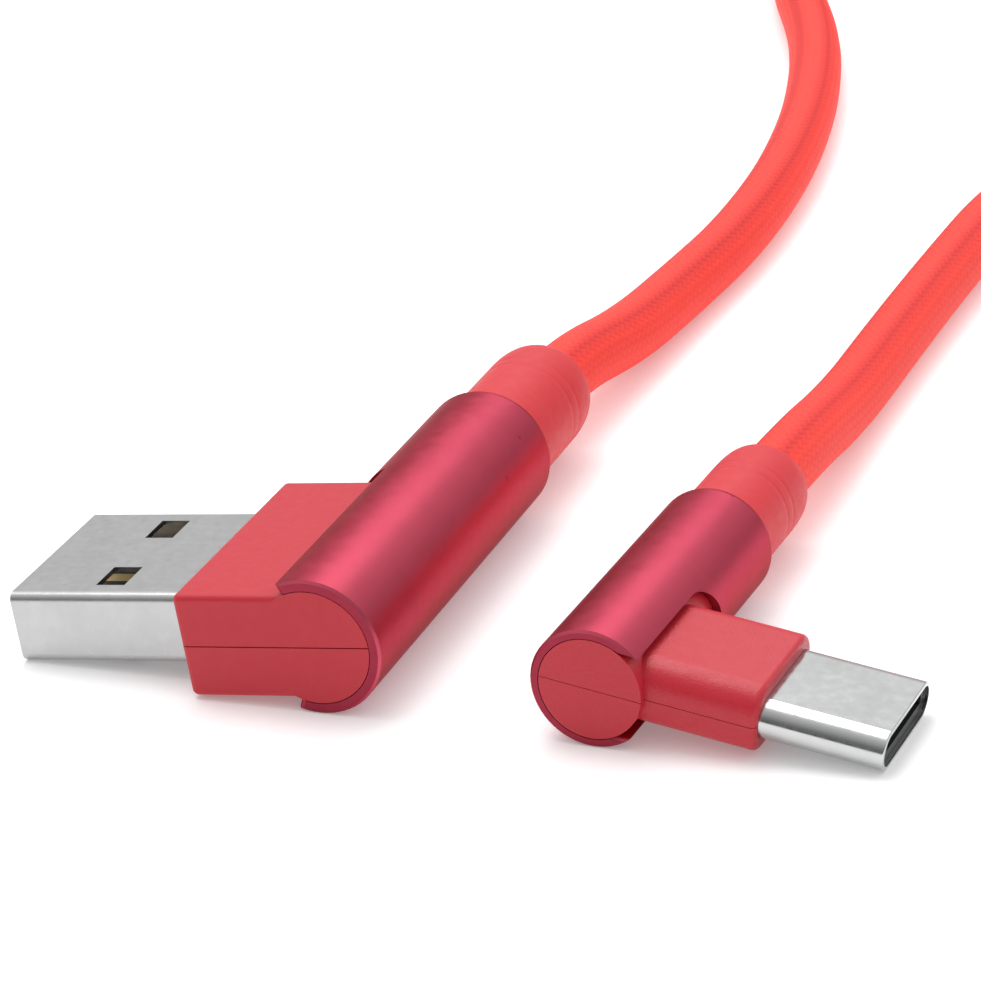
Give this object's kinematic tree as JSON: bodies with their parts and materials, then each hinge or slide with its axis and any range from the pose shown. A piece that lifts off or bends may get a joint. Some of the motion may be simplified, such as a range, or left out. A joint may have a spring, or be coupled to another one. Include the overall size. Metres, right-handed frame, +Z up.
{
  "type": "charging cable",
  "caption": "Braided charging cable with right-angled USB-A and USB-C plugs in slotted metal sleeves, moulded covers and soft strain reliefs, its spare length coiled and tied.",
  "frame": {"origin": "bottom centre of the box round both plugs and their strain reliefs, on the surface they lie on", "axes": "+Z up; +Y along the USB-A sleeve towards the cord; +X from the USB-A plug to the USB-C plug"},
  "size_m": [0.0671, 0.2097, 0.0109],
  "materials": {
    "anodised_red": "satin anodised, fine bead-blasted",
    "moulded_red": "fine spark texture",
    "soft_red": "matt",
    "braid_red": "fine tubular nylon braid",
    "strap_black": "hook-and-loop strap",
    "satin_steel": "satin, fine rolled grain",
    "polished_steel": "polished by tumbling, light scuffs",
    "insulator_black": "moulded",
    "gold_contacts": "gold plated",
    "inner_mould_white": "translucent moulding, drawn solid",
    "spring_steel": "plain",
    "board_green": "solder mask",
    "wire_red": "conductor insulation",
    "wire_white": "conductor insulation",
    "wire_green": "conductor insulation",
    "wire_black": "conductor insulation"
  },
  "bodies": {
    "root": {"coil_tie": "strap_black", "cord_coil": "braid_red", "cord_run_a": "braid_red", "cord_run_c": "braid_red", "usb_a_contacts": "gold_contacts", "usb_a_cord_end": "braid_red", "usb_a_cover_lower": "moulded_red", "usb_a_cover_upper": "moulded_red", "usb_a_crimp_ring": "spring_steel", "usb_a_inner_mould": "inner_mould_white", "usb_a_insulator": "insulator_black", "usb_a_shell": "satin_steel", "usb_a_sleeve": "anodised_red", "usb_a_strain_relief": "soft_red", "usb_a_wire_black": "wire_black", "usb_a_wire_green": "wire_green", "usb_a_wire_red": "wire_red", "usb_a_wire_white": "wire_white", "usb_c_circuit_board": "board_green", "usb_c_contact_housing": "insulator_black", "usb_c_contacts_lower": "gold_contacts", "usb_c_contacts_upper": "gold_contacts", "usb_c_cord_end": "braid_red", "usb_c_cover_lower": "moulded_red", "usb_c_cover_upper": "moulded_red", "usb_c_crimp_ring": "spring_steel", "usb_c_inner_mould": "inner_mould_white", "usb_c_latch": "spring_steel", "usb_c_pull_up_resistor": "insulator_black", "usb_c_shell": "polished_steel", "usb_c_sleeve": "anodised_red", "usb_c_strain_relief": "soft_red", "usb_c_wire_black": "wire_black", "usb_c_wire_green": "wire_green", "usb_c_wire_red": "wire_red", "usb_c_wire_white": "wire_white"}
  },
  "joints": []
}
